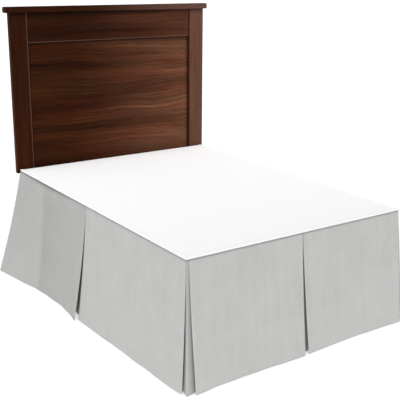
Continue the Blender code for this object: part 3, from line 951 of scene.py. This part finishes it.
def deck_grid(count):
    """The grid of the deck, with its rolled rim on three sides."""
    line = HALF_W + ROLL_START
    foot_line = HALF_L + ROLL_START
    xs = rim_spaced(-line - ROLL_END, line + ROLL_END, count, True)
    ys = rim_spaced(-foot_line - ROLL_END, HALF_L - HEAD_GAP, int(count * 1.4), False)
    x, y = np.meshgrid(xs, ys[::-1])
    out_x, drop_x = rolled(np.abs(x) - line)
    out_y, drop_y = rolled(-y - foot_line)
    inside = np.minimum(HALF_W - np.abs(x), HALF_L + y)
    lift = (CLOTH + 0.0002) * (1 - ramped(inside, LIP + 0.003, 0.016))
    wave = np.clip(0.0005 + 0.0005 * soft_noise(x, y, 21.0, 3.0, 3.0), 0.0, 0.0012)
    wave = wave * ramped(inside, 0.02, 0.06) * ramped(HALF_L - HEAD_GAP - y, 0.0, 0.02)
    pucker = 0.00022 * np.sin((x + y) * 240.0) * near(inside, 0.006, 0.012)
    z = BED_TOP - CLOTH / 2 + lift + wave + pucker - np.maximum(drop_x, drop_y)
    mid = np.stack([np.sign(x) * (line + out_x), -(foot_line + out_y), z], axis=-1)
    flat = np.stack([x, y, 0 * x], axis=-1)
    # Painted light: the deck is made lighter toward the head, making up for the headboard's shade there.
    shade = 0.985 + 0.140 * ramped(y, -HALF_L, 2 * HALF_L)
    return mid, np.full(x.shape, CLOTH), flat, shade


DECK_COUNT = 96
deck = sheet_piece("deck_cloth", deck_grid(DECK_COUNT), white_cloth)
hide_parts("deck")

# %% [markdown]
# ### Stitches
#
# A line of short stitches holds each turned hem. One stitch is a low, rounded bar that dips
# into the cloth at both ends. All stitches of a panel are one mesh, which is made from one
# stitch set down again and again along the cloth.

# %% Sew the hems
STITCH = 0.0032
STITCH_PITCH = 0.0046
STITCH_WIDE = 0.0007
STITCH_RISE = 0.0003


def point_on(path, travel, s):
    """The point a distance s along a path."""
    return np.array([np.interp(s, travel, path[:, i]) for i in range(3)])


def stitch_row(name, path, normal):
    """One mesh of stitches that follow a path of points on the cloth's face."""
    travel = np.concatenate([[0.0], np.cumsum(np.linalg.norm(np.diff(path, axis=0), axis=1))])
    starts = np.arange(STITCH_PITCH, travel[-1] - STITCH_PITCH, STITCH_PITCH)
    points, faces = [], []
    for start in starts:
        spots = [point_on(path, travel, start + STITCH * share) for share in (0.0, 0.5, 1.0)]
        up = point_on(normal, travel, start)
        side = np.cross(spots[2] - spots[0], up)
        side = side / np.linalg.norm(side) * STITCH_WIDE / 2
        base = len(points)
        for spot, rise in zip(spots, (-STITCH_RISE, STITCH_RISE, -STITCH_RISE)):
            foot = spot + up * (rise - STITCH_RISE)
            points += [foot + side, spot + up * (rise + STITCH_RISE / 2), foot - side]
        for i in (0, 3):
            for j, m in ((0, 1), (1, 2), (2, 0)):
                faces.append((base + i + j, base + i + m, base + i + 3 + m, base + i + 3 + j))
        faces += [(base + 2, base + 1, base), (base + 6, base + 7, base + 8)]
    mesh = bpy.data.meshes.new(name)
    mesh.from_pydata([tuple(p) for p in points], [], faces)
    tidy = bmesh.new()
    tidy.from_mesh(mesh)
    bmesh.ops.recalc_face_normals(tidy, faces=tidy.faces)
    tidy.to_mesh(mesh)
    tidy.free()
    print(name, len(starts), "stitches")
    return add_piece(name, mesh, grey_thread)


for name, (mid, thick, flat, shade) in grids.items():
    normal = grid_normals(mid)
    outward = np.array([*SIDES[SPANS[name][0]][2], 0.0])
    row = int(np.argmin(np.abs(flat[:, 0, 1] - (FALL - HEM_TURN))))
    facing = normal[row] * np.sign(normal[row] @ outward)[:, None]
    face = mid[row] + facing * thick[row][:, None] / 2
    stitch_row(name + "_hem_stitches", face[2:-2], facing[2:-2])

# %% [markdown]
# ## The headboard
#
# Boards have eased edges, which is where wood catches light. Each board is a box with rounded
# edges, cut in a bmesh, in place of the plain measured one. The cap board overhangs the
# others and is rounded most. The panel sits back behind the rail and posts, so a thin shadow
# runs round it.


# %% Shape the boards
def board_piece(node, radius, material, segments=3):
    """A board with rounded edges in the place of a measured node."""
    low, high = (Vector(corner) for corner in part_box(node))
    size = high - low
    centre = (high + low) / 2
    shape = bmesh.new()
    bmesh.ops.create_cube(shape, size=1.0)
    for v in shape.verts:
        v.co = Vector([c * s for c, s in zip(v.co, size)]) + centre
    bmesh.ops.bevel(shape, geom=shape.edges[:], offset=radius, segments=segments, profile=0.5,
                    affect="EDGES")
    mesh = bpy.data.meshes.new(node + "_board")
    shape.to_mesh(mesh)
    shape.free()
    mesh.shade_smooth()
    piece = add_piece(node + "_board", mesh, material)
    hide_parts(node)
    even = piece.modifiers.new("even_shading", "WEIGHTED_NORMAL")
    even.keep_sharp = True
    return piece


boards = [
    board_piece("cap", 0.0075, wood_cap, 5),
    board_piece("top_rail", 0.0022, wood_rail),
    board_piece("lower_rail", 0.0022, wood_rail),
    board_piece("panel", 0.0008, wood_panel, 2),
    board_piece("post_left", 0.0028, wood_upright),
    board_piece("post_right", 0.0028, wood_upright),
]
print("boards:", [board.name for board in boards])

# %% [markdown]
# ## The hidden base
#
# The rails, legs, beam, board and brackets are the measured solids themselves. Their shape is right, so
# they only get their finishes.

# %% Finish the base
LEGS = ("leg_foot_left", "leg_foot_right", "leg_middle_foot", "leg_middle", "leg_middle_head",
        "headboard_leg_left", "headboard_leg_right")
FINISH = (
    (plywood, ("bed_board", "centre_beam")),
    (wood_upright, LEGS),
    (wood_rail, ("foot_rail", "head_rail", "side_rail_left", "side_rail_right")),
    (steel, ("head_bracket_left", "head_bracket_right")),
)
for material, names in FINISH:
    for name in names:
        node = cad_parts[name]
        node.data.materials.clear()
        node.data.materials.append(material)
    print(material.name, "on", ", ".join(names))
